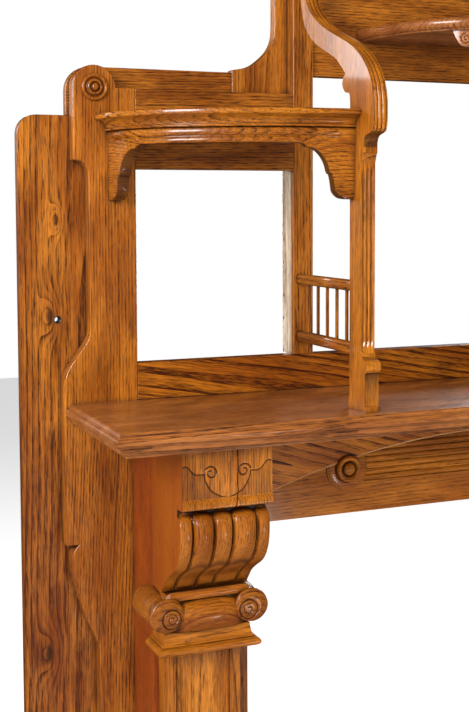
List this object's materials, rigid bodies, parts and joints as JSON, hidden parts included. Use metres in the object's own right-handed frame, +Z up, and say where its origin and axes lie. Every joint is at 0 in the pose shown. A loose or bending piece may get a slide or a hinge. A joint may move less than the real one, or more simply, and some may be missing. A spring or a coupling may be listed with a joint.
{
  "type": "fireplace mantel",
  "caption": "Carved oak fireplace mantel on pilasters with scrolled brackets, a deep shelf, and an open overmantel with bowed corner shelves.",
  "frame": {"origin": "on the floor, at the middle of the bounding box", "axes": "+X along the wall to the viewer's right, +Y into the wall, +Z up"},
  "size_m": [1.67, 0.325, 1.98],
  "materials": {
    "oak_board": "varnished golden oak, flat-sawn boards",
    "oak_carved": "varnished golden oak, carved and turned",
    "oak_shelf": "varnished golden oak, polished shelf",
    "oak_red": "varnished red-brown oak",
    "dark_metal": "dark oxidised steel"
  },
  "bodies": {
    "root": {"wing_board_left": "oak_board", "wing_board_right": "oak_board", "stile_left": "oak_board", "stile_right": "oak_board", "roundel_left": "oak_carved", "roundel_right": "oak_carved", "upper_back_left": "oak_board", "upper_back_right": "oak_board", "ramp_left": "oak_board", "ramp_right": "oak_board", "upper_rail_left": "oak_board", "upper_rail_right": "oak_board", "inner_post_left": "oak_carved", "inner_post_right": "oak_carved", "console_left": "oak_carved", "console_right": "oak_carved", "gallery_top_rail_left": "oak_carved", "gallery_top_rail_right": "oak_carved", "gallery_low_rail_left": "oak_carved", "gallery_low_rail_right": "oak_carved", "corner_shelf_left": "oak_shelf", "corner_shelf_right": "oak_shelf", "corner_apron_left": "oak_carved", "corner_apron_right": "oak_carved", "pilaster_side_left": "oak_red", "pilaster_side_right": "oak_red", "pilaster_return_left": "oak_red", "pilaster_return_right": "oak_red", "capital_left": "oak_carved", "capital_right": "oak_carved", "scroll_cap_left": "oak_carved", "scroll_cap_right": "oak_carved", "necking_left": "oak_carved", "necking_right": "oak_carved", "shaft_left": "oak_carved", "shaft_right": "oak_carved", "plinth_left": "oak_carved", "plinth_right": "oak_carved", "rosette_left": "oak_carved", "rosette_right": "oak_carved", "baluster_left_1": "oak_carved", "baluster_left_2": "oak_carved", "baluster_left_3": "oak_carved", "baluster_left_4": "oak_carved", "baluster_left_5": "oak_carved", "baluster_right_1": "oak_carved", "baluster_right_2": "oak_carved", "baluster_right_3": "oak_carved", "baluster_right_4": "oak_carved", "baluster_right_5": "oak_carved", "lower_rail": "oak_board", "centre_back": "oak_board", "cornice": "oak_shelf", "top_shelf": "oak_shelf", "top_shelf_apron": "oak_carved", "mantel_shelf": "oak_shelf", "frieze_board": "oak_board", "frieze_arch": "oak_board"}
  },
  "joints": []
}
